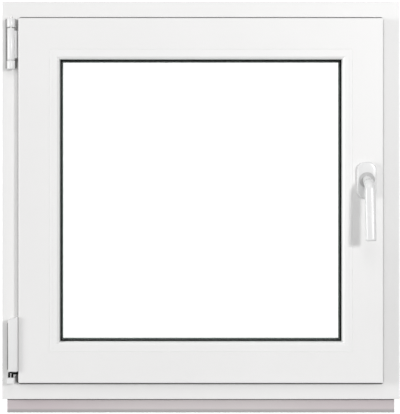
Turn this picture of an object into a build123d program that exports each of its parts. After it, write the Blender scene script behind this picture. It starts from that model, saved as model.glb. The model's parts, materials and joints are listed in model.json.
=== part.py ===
from build123d import *
from math import cos, radians, sin
import os

os.makedirs("parts", exist_ok=True)

# A tilt-and-turn window for a basement, closed, in millimetres.
# x runs across, y from the room (minus) to the outside (plus), z up from under the sill profile.
# A section is drawn in (u, y): u is the distance inwards from the frame's outer edge.

# Frame
WIDTH = 800.0
HEIGHT = 800.0
FRAME_DEPTH = 70.0
FRAME_LEG = 43.0
FRAME_STOP = 67.0
STOP_THICK = 16.0
STOP_SLOPE = 5.0
REBATE_DROP = 7.0
REBATE_DROP_AT = 29.0
CLIP_GROOVE_MOUTH = 9.0
CLIP_GROOVE_FLOOR = 12.0
CLIP_GROOVE_DEPTH = 4.0
CLIP_GROOVE_SPACING = 24.0
FRAME_WEBS = (13.0, 39.0, 53.0)

# Sash
SASH_DEPTH = 70.0
SASH_OVERLAP = 8.0
SASH_AIR = 12.0
SASH_GAP = 3.5
SASH_FACE = 63.0
LIP_THICK = 16.0
LIP_EDGE_ROUND = 3.0
LIP_CORNER_ROUND = 5.0
LIP_CORNER_FLATS = (22.5, 45.0, 67.5)
LIP_CORNER_RUN_OUT = 10.0
GLAZING_LEG_THICK = 17.5
GLAZING_LEG_SLOPE = 8.0
HARDWARE_GROOVE_AXIS = 13.0
HARDWARE_GROOVE_WIDTH = 12.0
HARDWARE_GROOVE_DEPTH = 9.0
FACEPLATE_WIDTH = 16.0
FACEPLATE_DEPTH = 2.6
SASH_WEBS = (19.0, 34.0, 55.0)

# Profile walls, edges and joints; a cutter runs PAST the face it cuts
WALL = 3.0
WEB = 1.6
EDGE_ROUND = 1.0
JOINT_ROUND = 0.7
PROFILE_REACH = 140.0
FIT = 0.2
RUNNING_GAP = 0.3
PAST = 1.0

# Glazing beads
BEAD_HEIGHT = 19.0
BEAD_WALL = 1.8
BEAD_BEVEL_ACROSS = 4.5
BEAD_BEVEL_BACK = 3.0
BEAD_STEP = 5.5
BEAD_FOOT_THICK = 3.6
BEAD_FOOT_REACH = 4.6
BEAD_FOOT_AT = 9.5

# Glass unit
PANE_THICK = 4.0
GLASS_CAVITY = 16.0
GLASS_COVER = 15.0
EDGE_SEAL = 4.5
SPACER_HEIGHT = 6.5

# Gaskets
GLAZING_GASKET = 4.0
GASKET_PROUD = 2.4
GASKET_HOLD = 9.0
GASKET_KEY = 2.8
GASKET_KEY_DEPTH = 2.8
LIP_GASKET_AT = 5.5
LIP_GASKET_WIDTH = 5.0
STOP_GASKET_AT = 5.0
STOP_GASKET_WIDTH = 6.5

# Handle
HANDLE_BACKSET = 70.0
HANDLE_HEIGHT = 406.0
ROSETTE_WIDTH = 38.5
ROSETTE_HEIGHT = 73.0
ROSETTE_THICK = 10.0
ROSETTE_CORNER = 17.0
ROSETTE_EDGE = 2.0
COLLAR_DIAMETER = 31.0
COLLAR_THICK = 2.2
JOURNAL_DIAMETER = 16.0
JOURNAL_LENGTH = 9.0
JOURNAL_CLEARANCE = 0.1
NECK_DIAMETER = 28.0
GRIP_LENGTH = 120.0
GRIP_STAND = 56.0
GRIP_LEAN = 4.0
GRIP_WIDTH = 20.5
GRIP_THICK = 13.0
GRIP_CORNER = 6.0
GRIP_END = 2.0
ELBOW_BEND = 12.0
NECK_DROP = 3.0
NECK_TAPER = 0.42
LEVER_SLANT = 1.5
SPINDLE = 7.0
SPINDLE_REACH = 38.0
SPINDLE_HOLE = 12.0

# Lock: a gearbox that the spindle turns, its faceplate, two cams and their strikers
GEARBOX_LENGTH = 96.0
GEARBOX_DEEP = 26.0
FOLLOWER_DIAMETER = 17.0
FACEPLATE_END = 35.0
CAM_IN = 80.0
CAM_DIAMETER = 10.0
CAM_REACH = 7.0
CAM_PLAY = 1.0
STRIKER_LENGTH = 60.0
STRIKER_WIDTH = 17.0
STRIKER_THICK = 9.0
STRIKER_BASE = 2.5

# Hinges
HINGE_IN = 20.5
HINGE_OUT = 15.0
LEAF_THICK = 2.6
LEAF_COVER = 2.5
PLATE_THICK = 3.0
TOP_HINGE_LENGTH = 104.0
TOP_HINGE_RISE = 2.6
KNUCKLE_DIAMETER = 18.0
STAY_KNUCKLE_DIAMETER = 16.6
KNUCKLE_TOP = 20.0
KNUCKLE_BOTTOM = 15.0
KNUCKLE_SEAM = 1.8
KNUCKLE_CHAMFER = 0.8
HINGE_PLATE_CORNER = 2.0
LEAF_INSET = 4.0
TOP_PIN = 6.0
BRACKET_WIDTH = 17.0
LEAF_OFF_AXIS = 3.5
COVER_WIDTH = 20.6
COVER_OUT = 26.0
COVER_LENGTH = 98.0
COVER_SHOULDER = 6.0
COVER_WALL = 1.6
COVER_ROUND = 5.0
BEARING_HEIGHT = 13.0
BEARING_WIDTH = 15.0
BEARING_GAP = 14.0
BEARING_DROP = 1.5
BOTTOM_PIN = 5.0
PIN_IN_SLEEVE = 32.0
SLEEVE_DIAMETER = 9.0
SLEEVE_BORE = 48.0
TINE_WIDTH = 4.4
TINE_HEIGHT = 10.6
TINE_SLOT = 2.4
TINE_THICK = 3.0
TINE_FOOT = 2.1
BAND_BAR = 2.5
BAND_PLATE = 5.0
BAND_OUT = 2.0
BAND_LAP = 1.0

# Sill connection profile
SILL_HEIGHT = 30.0
SILL_DEPTH = 36.0
SILL_WALL = 2.2
SILL_SHORT = 8.0
SILL_WEBS = (13.0, 24.0)
SILL_RECESS = 4.0
SILL_RECESS_EDGE = 6.0
CLIP_STEM = 6.0
SILL_SEAL_THICK = 4.0
SILL_SEAL_BACK = 1.2

# Drain slots and their caps, outside
DRAIN_SPACING = 400.0
DRAIN_UP = 14.0
DRAIN_SLOT_LENGTH = 28.0
DRAIN_SLOT_HEIGHT = 5.0
DRAIN_CAP_LENGTH = 44.0
DRAIN_CAP_HEIGHT = 13.0
DRAIN_CAP_OUT = 8.0
DRAIN_CAP_WALL = 1.5
DRAIN_CAP_ROOF = 2.4

# Places that follow from the sizes
BOTTOM = SILL_HEIGHT
TOP = BOTTOM + HEIGHT
LEFT = -WIDTH / 2
RIGHT = WIDTH / 2
FRAME_FRONT = -FRAME_DEPTH / 2
FRAME_BACK = FRAME_DEPTH / 2
STOP_FRONT = FRAME_BACK - STOP_THICK

LIP_EDGE = FRAME_LEG - SASH_OVERLAP
SASH_REBATE = FRAME_LEG + SASH_AIR
BEAD_LINE = LIP_EDGE + SASH_FACE
GLASS_LINE = BEAD_LINE + BEAD_HEIGHT
LIP_BACK = FRAME_FRONT - SASH_GAP
SASH_FRONT = LIP_BACK - LIP_THICK
SASH_BACK = SASH_FRONT + SASH_DEPTH
LEG_FRONT = SASH_BACK - GLAZING_LEG_THICK

GLASS_BACK = LEG_FRONT - GLAZING_GASKET
GLASS_FRONT = GLASS_BACK - 2 * PANE_THICK - GLASS_CAVITY
BEAD_BACK = GLASS_FRONT - GLAZING_GASKET
GLASS_EDGE = GLASS_LINE - GLASS_COVER

HANDLE_X = RIGHT - HANDLE_BACKSET
HANDLE_Z = BOTTOM + LIP_EDGE + HANDLE_HEIGHT
ROSETTE_FRONT = SASH_FRONT - ROSETTE_THICK
COLLAR_FRONT = ROSETTE_FRONT - COLLAR_THICK
NECK_BASE = COLLAR_FRONT - RUNNING_GAP
NECK_LENGTH = NECK_BASE - (SASH_FRONT - GRIP_STAND + GRIP_THICK / 2) - ELBOW_BEND
GRIP_TURN = 90 - GRIP_LEAN
HARDWARE_AXIS = LIP_BACK + HARDWARE_GROOVE_AXIS
MIDDLE_Z = BOTTOM + HEIGHT / 2
FACEPLATE_LENGTH = HEIGHT - 2 * (SASH_REBATE + FACEPLATE_END)

HINGE_X = LEFT + HINGE_IN
HINGE_Y = FRAME_FRONT - HINGE_OUT
LEAF_END = LEFT + LIP_EDGE + LEAF_COVER
SASH_CORNER_Z = BOTTOM + LIP_EDGE

SIDES = {
    "top": (Vector(0, 0, -1), Vector(LEFT, 0, TOP), WIDTH),
    "bottom": (Vector(0, 0, 1), Vector(RIGHT, 0, BOTTOM), WIDTH),
    "hinge": (Vector(1, 0, 0), Vector(LEFT, 0, BOTTOM), HEIGHT),
    "handle": (Vector(-1, 0, 0), Vector(RIGHT, 0, TOP), HEIGHT),
}


def outline(corners):
    """A face from (u, y, radius) corners; a radius of 0 leaves the corner sharp."""
    face = make_face(Polyline([(u, y) for u, y, _ in corners], close=True))
    for u, y, radius in corners:
        if radius:
            face = fillet(face.vertices().sort_by_distance((u, y, 0))[0], radius)
    return face


def block(u0, u1, y0, y1):
    """A rectangle in a section, from u0 to u1 and from y0 to y1."""
    return Pos((u0 + u1) / 2, (y0 + y1) / 2) * Rectangle(abs(u1 - u0), abs(y1 - y0))


def extrusion_chambers(shape, wall, webs):
    """The hollows of an extruded profile: its outline drawn in by one wall, split by the webs."""
    hollow = offset(shape, amount=-wall, kind=Kind.INTERSECTION)
    for web in webs:
        hollow -= web
    return hollow


def depth_webs(front, places):
    """Webs that stand across a profile's depth, at distances from its front face."""
    return [block(-PROFILE_REACH, PROFILE_REACH, front + p, front + p + WEB) for p in places]


def mitred(section, side):
    """One length of a profile on one side, cut at 45 degrees where it meets its neighbours."""
    inward, start, length = SIDES[side]
    along = inward.cross(Vector(0, 1, 0))
    bar = extrude(Plane(start, x_dir=inward, z_dir=along) * section, amount=length)
    cut = make_face(
        Polyline(
            [
                (0, 0),
                (length, 0),
                (length - PROFILE_REACH, PROFILE_REACH),
                (PROFILE_REACH, PROFILE_REACH),
            ],
            close=True,
        )
    )
    wedge = extrude(
        Plane(start, x_dir=along, z_dir=along.cross(inward)) * cut, amount=PROFILE_REACH, both=True
    )
    return bar & wedge


def ring(section):
    """One closed ring of a section that runs round all four sides."""
    return mitred(section, "top") + mitred(section, "bottom") + mitred(section, "hinge") + mitred(
        section, "handle"
    )


def frame_section():
    """The frame's profile: an L with clip grooves outside and a drained rebate inside."""
    rebate_low = FRAME_LEG - REBATE_DROP
    drop = FRAME_FRONT + REBATE_DROP_AT
    shape = [
        (0, FRAME_FRONT, EDGE_ROUND),
        (FRAME_LEG, FRAME_FRONT, EDGE_ROUND),
        (FRAME_LEG, drop, 0),
        (rebate_low, drop + REBATE_DROP, 0),
        (rebate_low, STOP_FRONT, 0),
        (FRAME_STOP, STOP_FRONT, EDGE_ROUND),
        (FRAME_STOP, FRAME_BACK - STOP_THICK / 2, EDGE_ROUND),
        (FRAME_STOP - STOP_SLOPE, FRAME_BACK, EDGE_ROUND),
        (0, FRAME_BACK, EDGE_ROUND),
    ]
    cuts = [gasket_groove(FRAME_STOP - STOP_GASKET_AT, STOP_FRONT, 1)]
    cuts += [clip_groove(s * CLIP_GROOVE_SPACING / 2) for s in (-1, 1)]
    solid, sharp = outline(shape), outline([(u, y, 0) for u, y, _ in shape])
    for cut in cuts:
        solid -= cut
        sharp -= cut
    return solid - extrusion_chambers(sharp, WALL, depth_webs(FRAME_FRONT, FRAME_WEBS))


def clip_groove(middle):
    """A dovetail groove in the frame's outer face, for sill profiles and wall clips."""
    mouth, floor = CLIP_GROOVE_MOUTH / 2, CLIP_GROOVE_FLOOR / 2
    return outline(
        [
            (-PAST, middle - mouth, 0),
            (0, middle - mouth, 0),
            (CLIP_GROOVE_DEPTH, middle - floor, 0),
            (CLIP_GROOVE_DEPTH, middle + floor, 0),
            (0, middle + mouth, 0),
            (-PAST, middle + mouth, 0),
        ]
    )


def gasket_groove(middle, face, inwards):
    """The keyway of a push-in gasket; inwards is 1 or -1, the way into the wall along y."""
    half = (GASKET_KEY + FIT) / 2
    return block(middle - half, middle + half, face, face + inwards * (GASKET_KEY_DEPTH + FIT))


def sash_section():
    """The sash's profile: a lip over the frame, a hardware groove and a leg behind the glass."""
    shape = [
        (LIP_EDGE, SASH_FRONT, LIP_EDGE_ROUND),
        (BEAD_LINE, SASH_FRONT, JOINT_ROUND),
        (BEAD_LINE, LEG_FRONT, 0),
        (GLASS_LINE, LEG_FRONT, EDGE_ROUND),
        (GLASS_LINE, LEG_FRONT + PANE_THICK, EDGE_ROUND),
        (GLASS_LINE - GLAZING_LEG_SLOPE, SASH_BACK, EDGE_ROUND),
        (SASH_REBATE, SASH_BACK, EDGE_ROUND),
        (SASH_REBATE, LIP_BACK, 0),
        (LIP_EDGE, LIP_BACK, EDGE_ROUND),
    ]
    axis = HARDWARE_AXIS
    channel, plate = HARDWARE_GROOVE_WIDTH / 2, FACEPLATE_WIDTH / 2
    open_side = SASH_REBATE - PAST
    foot = SASH_FRONT + BEAD_FOOT_AT
    foot_half = BEAD_FOOT_THICK / 2 + FIT
    cuts = [
        block(open_side, SASH_REBATE + HARDWARE_GROOVE_DEPTH, axis - channel, axis + channel),
        block(open_side, SASH_REBATE + FACEPLATE_DEPTH, axis - plate, axis + plate),
        block(
            BEAD_LINE - BEAD_FOOT_REACH - FIT, BEAD_LINE + PAST, foot - foot_half, foot + foot_half
        ),
        gasket_groove(LIP_EDGE + LIP_GASKET_AT, LIP_BACK, -1),
    ]
    solid, sharp = outline(shape), outline([(u, y, 0) for u, y, _ in shape])
    for cut in cuts:
        solid -= cut
        sharp -= cut
    return solid - extrusion_chambers(sharp, WALL, depth_webs(SASH_FRONT, SASH_WEBS))


def corner_flats(quarter):
    """The flats that round one outer corner of the sash, as (x, z) points that run out past it."""
    first, *_, last = LIP_CORNER_FLATS
    side_x, side_z = ((1, 1), (-1, 1), (-1, -1), (1, -1))[quarter]
    x = side_x * (WIDTH / 2 - LIP_EDGE - LIP_CORNER_ROUND)
    z = MIDDLE_Z + side_z * (HEIGHT / 2 - LIP_EDGE - LIP_CORNER_ROUND)

    def point(angle, out, along):
        turn = radians(angle + 90 * quarter)
        return x + out * cos(turn) - along * sin(turn), z + out * sin(turn) + along * cos(turn)

    points = [point(first, LIP_CORNER_ROUND, -LIP_CORNER_RUN_OUT)]
    for a, b in zip(LIP_CORNER_FLATS, LIP_CORNER_FLATS[1:]):
        points.append(point((a + b) / 2, LIP_CORNER_ROUND / cos(radians(b - a) / 2), 0))
    return points + [point(last, LIP_CORNER_ROUND, LIP_CORNER_RUN_OUT)]


def sash_member(side):
    """One sash length, with the sash's outer corners ground round."""
    corners = [corner_flats(quarter) for quarter in range(4)]
    trim = make_face(Polyline([point for corner in corners for point in corner], close=True))
    return mitred(sash_section(), side) & extrude(Plane.XZ * trim, amount=PROFILE_REACH, both=True)


def bead_section():
    """A hollow glazing bead with a stepped, bevelled face and a snap-in foot."""
    shape = [
        (BEAD_LINE, SASH_FRONT, JOINT_ROUND),
        (GLASS_LINE - BEAD_BEVEL_ACROSS, SASH_FRONT, EDGE_ROUND),
        (GLASS_LINE, SASH_FRONT + BEAD_BEVEL_BACK, EDGE_ROUND),
        (GLASS_LINE, BEAD_BACK, 0),
        (BEAD_LINE, BEAD_BACK, 0),
    ]
    body = outline(shape)
    hollow = offset(
        outline([(u, y, 0) for u, y, _ in shape]), amount=-BEAD_WALL, kind=Kind.INTERSECTION
    )
    middle = SASH_FRONT + BEAD_FOOT_AT
    foot = block(
        BEAD_LINE - BEAD_FOOT_REACH,
        BEAD_LINE,
        middle - BEAD_FOOT_THICK / 2,
        middle + BEAD_FOOT_THICK / 2,
    )
    step = BEAD_LINE + BEAD_STEP
    groove = block(step, step + JOINT_ROUND, SASH_FRONT - PAST, SASH_FRONT + JOINT_ROUND / 2)
    return body + foot - hollow - groove


def glazing_gasket_section(face):
    """A glazing gasket that lies on a pane's face and stands a little past the glass line."""
    low, tip = GLASS_LINE - GASKET_HOLD, GLASS_LINE + GASKET_PROUD
    return outline(
        [
            (low, face, 0),
            (tip - GASKET_PROUD / 2, face, 0),
            (tip, face + GLAZING_GASKET / 2, 0),
            (tip - GASKET_PROUD / 2, face + GLAZING_GASKET, 0),
            (low, face + GLAZING_GASKET, 0),
        ]
    )


def bulb_gasket_section(middle, face, reach, width, inwards):
    """A push-in gasket: a key in the groove and a bulb that closes the gap to the other face."""
    tip = face - inwards * reach
    key = block(
        middle - GASKET_KEY / 2, middle + GASKET_KEY / 2, face, face + inwards * GASKET_KEY_DEPTH
    )
    bulb = outline(
        [
            (middle - width / 2, face, 0),
            (middle - width / 4, tip, 0),
            (middle + width / 4, tip, 0),
            (middle + width / 2, (face + tip) / 2, 0),
            (middle + width / 2, face, 0),
        ]
    )
    return key + bulb


def pane(front):
    """A sheet of glass with its room-side face at y = front."""
    width, height = WIDTH - 2 * GLASS_EDGE, HEIGHT - 2 * GLASS_EDGE
    return Pos(0, front + PANE_THICK / 2, MIDDLE_Z) * Box(width, PANE_THICK, height)


def cavity_ring(low, high):
    """A ring between the panes, from low to high in from the frame's edge."""
    front = GLASS_FRONT + PANE_THICK
    return ring(block(low, high, front, front + GLASS_CAVITY))


def room_plane(x, y, z):
    """A plane that faces the room at a point, with its own x across and its y up."""
    return Plane((x, y, z), x_dir=(1, 0, 0), z_dir=(0, -1, 0))


def shaft(x, z, diameter, start, end):
    """A round bar along y from y = start back towards the room to y = end."""
    return extrude(room_plane(x, start, z) * Circle(diameter / 2), amount=start - end)


def post(x, y, diameter, low, high):
    """A round bar along z."""
    return Pos(x, y, (low + high) / 2) * Cylinder(diameter / 2, high - low)


def handle_rosette():
    """The handle's base: a long plate with full rounded ends and a bored boss."""
    plate = extrude(
        room_plane(HANDLE_X, SASH_FRONT, HANDLE_Z)
        * RectangleRounded(ROSETTE_WIDTH, ROSETTE_HEIGHT, ROSETTE_CORNER),
        amount=ROSETTE_THICK,
    )
    plate = chamfer(plate.faces().sort_by(Axis.Y)[0].edges(), ROSETTE_EDGE)
    bore = JOURNAL_DIAMETER + 2 * JOURNAL_CLEARANCE
    return plate - shaft(HANDLE_X, HANDLE_Z, bore, SASH_FRONT + PAST, ROSETTE_FRONT - PAST)


def handle_collar():
    """The bushing ring on the rosette that the neck turns against."""
    bore = JOURNAL_DIAMETER + 2 * JOURNAL_CLEARANCE
    ring_out = shaft(HANDLE_X, HANDLE_Z, COLLAR_DIAMETER, ROSETTE_FRONT, COLLAR_FRONT)
    return ring_out - shaft(HANDLE_X, HANDLE_Z, bore, ROSETTE_FRONT + PAST, COLLAR_FRONT - PAST)


def handle_lever():
    """The lever: a neck that flares to its round root and bends down into the grip."""
    start = NECK_BASE - NECK_LENGTH
    section = room_plane(HANDLE_X, start, HANDLE_Z - NECK_DROP) * RectangleRounded(
        GRIP_WIDTH, GRIP_THICK, GRIP_CORNER
    )
    bend = Axis((HANDLE_X, start, HANDLE_Z - NECK_DROP - ELBOW_BEND), (1, 0, 0))
    fallen = NECK_DROP + ELBOW_BEND * (1 - cos(radians(GRIP_TURN)))
    neck = extrude(section, amount=-NECK_LENGTH)
    elbow = revolve(section, bend, GRIP_TURN)
    grip = extrude(section.rotate(bend, GRIP_TURN), amount=GRIP_LENGTH - fallen)
    grip = chamfer(grip.faces().sort_by(Axis.Z)[0].edges(), GRIP_END)
    blade = neck + elbow + grip
    blade = blade.rotate(Axis((HANDLE_X, 0, HANDLE_Z), (0, 1, 0)), -LEVER_SLANT)
    return blade + neck_root() + shaft(
        HANDLE_X, HANDLE_Z, JOURNAL_DIAMETER, NECK_BASE + JOURNAL_LENGTH, NECK_BASE
    )


def neck_root():
    """The neck's round root, which tapers into the neck."""
    cone = Cone(NECK_DIAMETER / 2, NECK_TAPER * NECK_DIAMETER / 2, NECK_LENGTH)
    return room_plane(HANDLE_X, NECK_BASE - NECK_LENGTH / 2, HANDLE_Z) * cone


def handle_spindle():
    """The square spindle that turns the locking gear inside the sash."""
    start = NECK_BASE + JOURNAL_LENGTH
    return extrude(
        room_plane(HANDLE_X, start + SPINDLE_REACH, HANDLE_Z) * Rectangle(SPINDLE, SPINDLE),
        amount=SPINDLE_REACH,
    )


def spindle_hole():
    """The hole through the sash's room side for the spindle, as far as the gearbox."""
    return shaft(HANDLE_X, HANDLE_Z, SPINDLE_HOLE, HARDWARE_AXIS, SASH_FRONT - PAST)


def gearbox_block(grow):
    """The gearbox's block in the handle stile, larger than the gearbox by grow all round."""
    half = HARDWARE_GROOVE_WIDTH / 2 - FIT + grow
    front = RIGHT - SASH_REBATE - FACEPLATE_DEPTH
    return span(
        front - GEARBOX_DEEP - grow,
        front,
        HARDWARE_AXIS - half,
        HARDWARE_AXIS + half,
        HANDLE_Z - GEARBOX_LENGTH / 2 - grow,
        HANDLE_Z + GEARBOX_LENGTH / 2 + grow,
    )


def follower_shaft(diameter, grow):
    """A round bar through the gearbox on the handle's axis."""
    half = HARDWARE_GROOVE_WIDTH / 2 - FIT + grow
    return shaft(HANDLE_X, HANDLE_Z, diameter, HARDWARE_AXIS + half, HARDWARE_AXIS - half)


def lock_gearbox():
    """The gearbox's case behind the faceplate, bored for the follower."""
    bore = FOLLOWER_DIAMETER + 2 * JOURNAL_CLEARANCE
    return gearbox_block(0) - follower_shaft(bore, PAST)


def lock_follower():
    """The follower: a hub with a square hole that the spindle turns."""
    hub = follower_shaft(FOLLOWER_DIAMETER, -FIT)
    side = SPINDLE + 2 * JOURNAL_CLEARANCE
    hole = extrude(
        room_plane(HANDLE_X, HARDWARE_AXIS + FOLLOWER_DIAMETER, HANDLE_Z) * Rectangle(side, side),
        amount=2 * FOLLOWER_DIAMETER,
    )
    return hub - hole


def faceplate_plane(depth):
    """A plane on the handle stile's edge, so deep in from the rebate, that faces the frame."""
    return Plane(
        (RIGHT - SASH_REBATE - depth, HARDWARE_AXIS, MIDDLE_Z), x_dir=(0, 0, 1), z_dir=(1, 0, 0)
    )


def lock_faceplate():
    """The long strip in the sash's edge that the cams stand on."""
    strip = SlotOverall(FACEPLATE_LENGTH, FACEPLATE_WIDTH - 2 * FIT)
    return extrude(faceplate_plane(FACEPLATE_DEPTH) * strip, amount=FACEPLATE_DEPTH)


def cam_places():
    """How far each cam is along the faceplate from its middle."""
    reach = FACEPLATE_LENGTH / 2 - CAM_IN
    return [-reach, reach]


def lock_cam(along):
    """A round cam, so far along the faceplate."""
    return extrude(faceplate_plane(0) * Pos(along, 0) * Circle(CAM_DIAMETER / 2), amount=CAM_REACH)


def lock_striker(along):
    """A striker on the frame: a block with a channel that its cam slides along."""
    foot = Plane(
        (RIGHT - FRAME_LEG, HARDWARE_AXIS, MIDDLE_Z + along), x_dir=(0, 0, 1), z_dir=(-1, 0, 0)
    )
    shape = RectangleRounded(STRIKER_LENGTH, STRIKER_WIDTH, HINGE_PLATE_CORNER)
    body = extrude(foot * shape, amount=STRIKER_THICK)
    channel = Rectangle(STRIKER_LENGTH + 2 * PAST, CAM_DIAMETER + 2 * CAM_PLAY)
    return body - extrude(foot * Pos(0, 0, STRIKER_BASE) * channel, amount=STRIKER_THICK)


def span(x0, x1, y0, y1, z0, z1):
    """A block between two corners."""
    middle = Pos((x0 + x1) / 2, (y0 + y1) / 2, (z0 + z1) / 2)
    return middle * Box(abs(x1 - x0), abs(y1 - y0), abs(z1 - z0))


def top_hinge_places():
    """The heights of the top hinge: its top, the two seams and its bottom."""
    top = TOP - LIP_EDGE + TOP_HINGE_RISE
    bottom = top - TOP_HINGE_LENGTH
    return top, top - KNUCKLE_TOP, bottom + KNUCKLE_BOTTOM, bottom


def top_hinge_bracket():
    """The frame's half of the top hinge: a plate on the frame with an upper and a lower knuckle."""
    top, high_seam, low_seam, bottom = top_hinge_places()
    plate_right = HINGE_X + LEAF_OFF_AXIS - FIT
    plate_front = FRAME_FRONT - PLATE_THICK
    plate = span(
        plate_right - BRACKET_WIDTH, plate_right, plate_front, FRAME_FRONT, bottom, top
    )
    parts = fillet(plate.edges().filter_by(Axis.Y), HINGE_PLATE_CORNER)
    side = HINGE_X - KNUCKLE_DIAMETER / 2
    for low, high in ((bottom, low_seam), (high_seam, top)):
        knuckle = post(HINGE_X, HINGE_Y, KNUCKLE_DIAMETER, low, high)
        web = span(side, HINGE_X, HINGE_Y, plate_front, low + EDGE_ROUND, high - EDGE_ROUND)
        parts = parts + rim_chamfered(knuckle, high if high == top else low) + web
    return parts - post(HINGE_X, HINGE_Y, TOP_PIN + 2 * FIT, bottom - PAST, top + PAST)


def rim_chamfered(knuckle, height):
    """A knuckle with the rim at one height chamfered."""
    rims = knuckle.edges().filter_by(GeomType.CIRCLE)
    return chamfer([rim for rim in rims if abs(rim.center().Z - height) < FIT], KNUCKLE_CHAMFER)


def top_hinge_stay_knuckle():
    """The sash's half of the top hinge: the long middle knuckle and its leaf under the lip."""
    _, high_seam, low_seam, _ = top_hinge_places()
    low, high = low_seam + KNUCKLE_SEAM, high_seam - KNUCKLE_SEAM
    knuckle = post(HINGE_X, HINGE_Y, STAY_KNUCKLE_DIAMETER, low, high)
    leaf = sash_leaf(low + LEAF_INSET, high - LEAF_INSET)
    return knuckle + leaf - post(HINGE_X, HINGE_Y, TOP_PIN + 2 * FIT, low - PAST, high + PAST)


def sash_leaf(low, high):
    """A flat leaf from the hinge line to under the sash's lip, with the neck that carries it."""
    start = HINGE_X + LEAF_OFF_AXIS
    neck_end = cover_sides()[1] - COVER_WALL - FIT
    leaf = span(start, LEAF_END, LIP_BACK, LIP_BACK + LEAF_THICK, low, high)
    neck = span(start, neck_end, HINGE_Y, LIP_BACK, low, high)
    return leaf + neck


def top_hinge_pin():
    """The pin of the top hinge, flush with its ends."""
    top, _, _, bottom = top_hinge_places()
    return post(HINGE_X, HINGE_Y, TOP_PIN, bottom, top)


def bottom_hinge_places():
    """The heights of the bottom hinge: bearing foot, bearing top, cover foot and cover shoulder."""
    foot = SASH_CORNER_Z - BEARING_DROP
    bearing_top = foot + BEARING_HEIGHT
    cover_foot = bearing_top + BEARING_GAP
    return foot, bearing_top, cover_foot, cover_foot + COVER_LENGTH


def bottom_hinge_bearing():
    """The frame's half of the bottom hinge: a plate and a rounded block that holds the pin."""
    foot, bearing_top, _, _ = bottom_hinge_places()
    half = BEARING_WIDTH / 2
    high = bearing_top + TINE_HEIGHT
    plate = span(
        HINGE_X - half, HINGE_X + half, FRAME_FRONT - PLATE_THICK, FRAME_FRONT, foot, high
    )
    front = HINGE_Y - half
    body = span(HINGE_X - half, HINGE_X + half, front, FRAME_FRONT - PLATE_THICK, foot, bearing_top)
    body = fillet(body.faces().sort_by(Axis.Y)[0].edges(), COVER_ROUND / 2)
    hole = post(HINGE_X, HINGE_Y, BOTTOM_PIN + 2 * FIT, foot + PLATE_THICK, bearing_top + PAST)
    return plate + body - hole


def bottom_hinge_pin():
    """The pin that stands in the bearing and carries the sash."""
    foot, _, cover_foot, _ = bottom_hinge_places()
    return post(HINGE_X, HINGE_Y, BOTTOM_PIN, foot + PLATE_THICK, cover_foot + PIN_IN_SLEEVE)


def bottom_hinge_adjuster():
    """The black fork on the bearing: two tines either side of a slot, in front of the pin."""
    _, bearing_top, _, _ = bottom_hinge_places()
    back = HINGE_Y - BOTTOM_PIN / 2 - FIT
    front = back - TINE_THICK
    half = TINE_WIDTH + TINE_SLOT / 2
    top = bearing_top + TINE_HEIGHT
    fork = span(HINGE_X - half, HINGE_X + half, front, back, bearing_top, top)
    slot = span(
        HINGE_X - TINE_SLOT / 2,
        HINGE_X + TINE_SLOT / 2,
        front - PAST,
        back + PAST,
        bearing_top + TINE_FOOT,
        top + PAST,
    )
    return fork - slot


def bottom_hinge_band():
    """The sash's half: a sleeve on the pin, a leaf under the lip and an angle down the corner."""
    foot, bearing_top, cover_foot, shoulder = bottom_hinge_places()
    sleeve_foot = bearing_top + TINE_HEIGHT + FIT
    high = shoulder - COVER_SHOULDER - COVER_WALL - PAST
    lip_side = LEFT + LIP_EDGE
    plate_side = lip_side - BAND_PLATE
    sleeve = post(HINGE_X, HINGE_Y, SLEEVE_DIAMETER, sleeve_foot, high)
    leaf = sash_leaf(cover_foot + COVER_WALL, high - COVER_WALL)
    bar = span(HINGE_X, lip_side, HINGE_Y, LIP_BACK, sleeve_foot, sleeve_foot + BAND_BAR)
    plate = span(
        plate_side, lip_side, LIP_BACK - BAND_OUT, LIP_BACK, foot + BAND_LAP, sleeve_foot + BAND_LAP
    )
    foot_leaf = span(
        plate_side, LEAF_END, LIP_BACK, LIP_BACK + BAND_LAP, foot + PLATE_THICK, sleeve_foot
    )
    hole = post(HINGE_X, HINGE_Y, BOTTOM_PIN + 2 * FIT, sleeve_foot - PAST, cover_foot + SLEEVE_BORE)
    return sleeve + leaf + bar + plate + foot_leaf - hole


def cover_sides():
    """The left and the right side of the bottom hinge's cover."""
    right = LEFT + LIP_EDGE - RUNNING_GAP
    return right - COVER_WIDTH, right


def cover_body(grow, low, high):
    """The cover's D-shaped body, smaller than its outside by grow, from low to high."""
    left, right = cover_sides()
    back = FRAME_FRONT - RUNNING_GAP
    front = FRAME_FRONT - COVER_OUT
    width, depth = COVER_WIDTH - 2 * grow, back - front - grow
    shape = Pos((left + right) / 2, back - depth / 2) * Rectangle(width, depth)
    nose = shape.vertices().sort_by(Axis.Y)[:2]
    return Pos(0, 0, low) * extrude(fillet(nose, COVER_ROUND - grow), amount=high - low)


def bottom_hinge_cover():
    """The clip-on cover of the bottom hinge, open below and behind, with a sloping shoulder."""
    _, _, cover_foot, shoulder = bottom_hinge_places()
    body = cover_body(0, cover_foot, shoulder)
    left, right = cover_sides()
    slope = make_face(
        Polyline(
            [
                (left - PAST, shoulder + PAST),
                (left - PAST, shoulder - COVER_SHOULDER),
                (right, shoulder),
                (right, shoulder + PAST),
            ],
            close=True,
        )
    )
    body -= extrude(Plane.XZ * slope, amount=PROFILE_REACH, both=True)
    hollow_top = shoulder - COVER_SHOULDER - COVER_WALL
    leaf_room = span(
        HINGE_X, right + PAST, LIP_BACK - FIT, FRAME_FRONT, cover_foot - PAST, hollow_top
    )
    return body - cover_body(COVER_WALL, cover_foot - PAST, hollow_top) - leaf_room


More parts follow.
